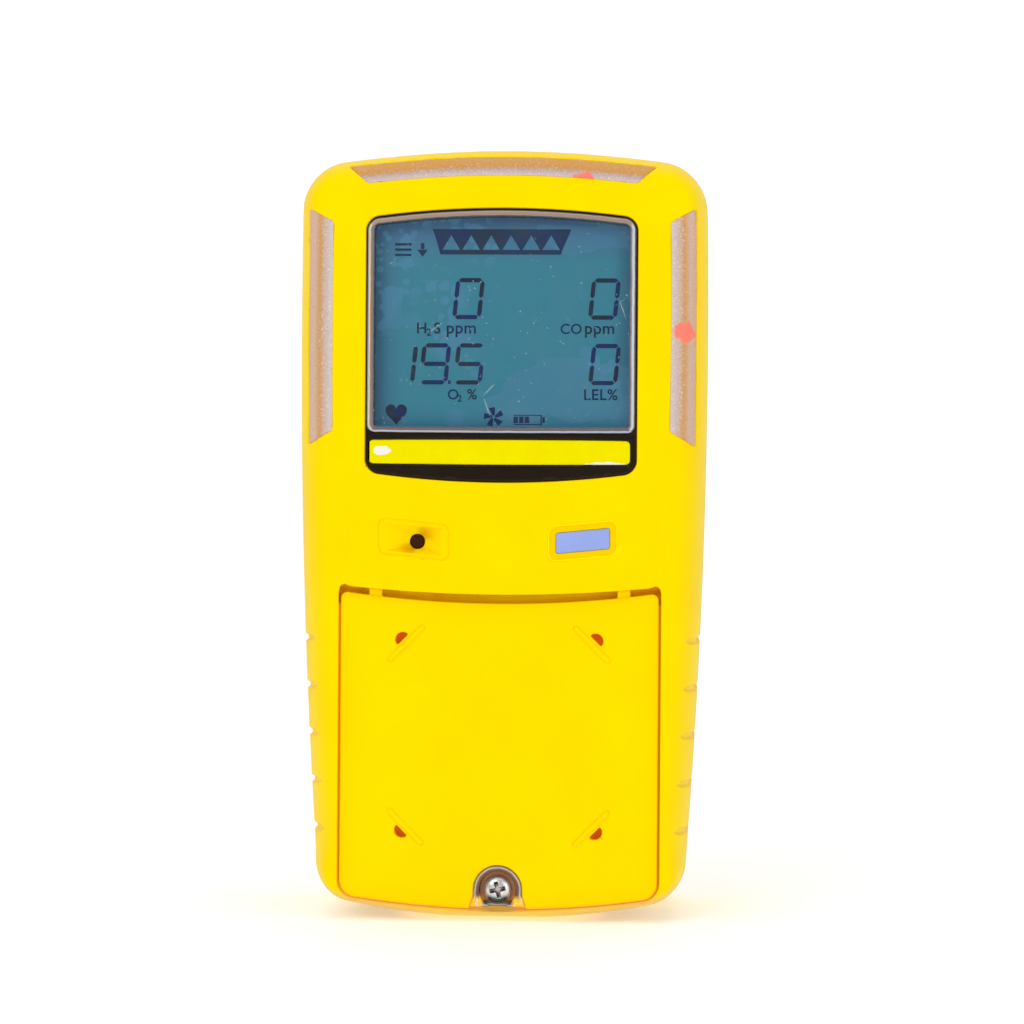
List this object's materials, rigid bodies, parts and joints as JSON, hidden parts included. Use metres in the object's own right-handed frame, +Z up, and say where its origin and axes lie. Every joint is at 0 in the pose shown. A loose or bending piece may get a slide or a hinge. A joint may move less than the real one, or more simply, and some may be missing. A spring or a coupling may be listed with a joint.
{
  "type": "portable gas detector",
  "caption": "Handheld gas detector with a framed display, alarm light bars, one button, a tilting sensor cover, a belt clip and a bayonet pump-inlet cap.",
  "frame": {"origin": "centre of the bounding box at its lowest point, under the middle of the foot", "axes": "+X to the right seen from the front, +Y towards the belt clip, +Z up along the case; the display faces -Y"},
  "size_m": [0.07, 0.052, 0.131],
  "materials": {
    "yellow_case": "fine moulded texture, light scuffs",
    "frosted_lens": "frosted translucent",
    "clear_plastic": "clear, lightly scratched",
    "black_gloss": "gloss black",
    "black_plastic": "matte black",
    "label": "printed yellow film",
    "button_lilac": "soft lilac-blue",
    "display_glass": "teal liquid-crystal display",
    "white_plastic": "off-white",
    "circuit_board": "green solder mask",
    "steel": "satin stainless",
    "brass": "plain brass",
    "gold_contact": "gold-plated",
    "led_red": "red epoxy",
    "black_rubber": "black elastomer",
    "battery_wrap": "blue shrink wrap",
    "dark_red": "dark infrared-clear plastic",
    "clear_tube": "milky silicone"
  },
  "bodies": {
    "housing": {"front_shell": "yellow_case", "rear_shell": "yellow_case", "shell_seal": "black_rubber", "alarm_lens_top": "frosted_lens", "alarm_lens_left": "frosted_lens", "alarm_lens_right": "frosted_lens", "case_screw_lower_left": "steel", "case_screw_upper_left": "steel", "case_screw_lower_right": "steel", "case_screw_upper_right": "steel", "display_frame": "black_gloss", "display_window": "clear_plastic", "name_plate": "label", "lcd_panel": "display_glass", "lcd_backlight": "white_plastic", "main_board": "circuit_board", "processor_chip": "black_plastic", "sounder": "black_plastic", "sounder_membrane": "black_plastic", "button_switch": "black_plastic", "alarm_led_top_left": "led_red", "alarm_led_top_right": "led_red", "alarm_led_left": "led_red", "alarm_led_right": "led_red", "button_surround": "yellow_case", "vibrator_motor": "steel", "sensor_seal": "black_rubber", "sensor_hydrogen_sulfide": "white_plastic", "sensor_carbon_monoxide": "white_plastic", "sensor_oxygen": "white_plastic", "sensor_combustible": "white_plastic", "sensor_board": "circuit_board", "screw_insert": "brass", "battery_pack": "battery_wrap", "battery_lead": "black_rubber", "pump_motor": "steel", "pump_head": "black_plastic", "inlet_tube": "clear_tube", "outlet_tube": "clear_tube", "contact_block": "black_plastic", "charge_contact_1": "gold_contact", "charge_contact_2": "gold_contact", "charge_contact_3": "gold_contact", "charge_contact_4": "gold_contact", "infrared_window": "dark_red", "cap_seal": "black_rubber", "filter_disc": "white_plastic", "clip_bracket": "steel", "clip_pin": "steel", "clip_spring": "steel", "clip_screw": "steel"},
    "button": {"push_button": "button_lilac"},
    "cover": {"sensor_cover": "yellow_case", "screw_retainer": "clear_plastic"},
    "screw": {"cover_screw": "steel"},
    "cap": {"filter_cap": "black_plastic", "hose_nozzle": "steel"},
    "clip": {"clip_lever": "steel"},
    "pump_rotor": {"pump_eccentric": "brass"},
    "vibrator_rotor": {"vibrator_weight": "brass"}
  },
  "joints": [
    {"name": "button_press", "type": "slide", "parent": "housing", "child": "button", "axis": [0, 1, 0], "range_m": [0, 0.0008], "stiffness_N_per_m": 1500},
    {"name": "cover_tilt", "type": "hinge", "parent": "housing", "child": "cover", "pos_m": [0, -0.0247, 0.055], "axis": [-1, 0, 0], "range_deg": [0, 35]},
    {"name": "cover_screw_back_out", "type": "slide", "parent": "cover", "child": "screw", "axis": [0, -1, 0], "range_m": [0, 0.0045]},
    {"name": "filter_cap_turn", "type": "hinge", "parent": "housing", "child": "cap", "pos_m": [0, 0.0176, 0.034], "axis": [0, 1, 0], "range_deg": [0, 45]},
    {"name": "clip_open", "type": "hinge", "parent": "housing", "child": "clip", "pos_m": [0, 0.021, 0.108], "axis": [1, 0, 0], "range_deg": [0, 20], "deforming": ["clip_spring"]},
    {"name": "pump_spin", "type": "hinge", "parent": "housing", "child": "pump_rotor", "pos_m": [0, 0.0055, 0.019], "axis": [1, 0, 0], "continuous": true},
    {"name": "vibrator_spin", "type": "hinge", "parent": "housing", "child": "vibrator_rotor", "pos_m": [0.0147, -0.0106, 0.07], "axis": [1, 0, 0], "continuous": true}
  ],
  "couplings": [
    {"joint": "cover_screw_back_out", "follows": "cover_tilt", "m_per_rad": 0.0073}
  ]
}
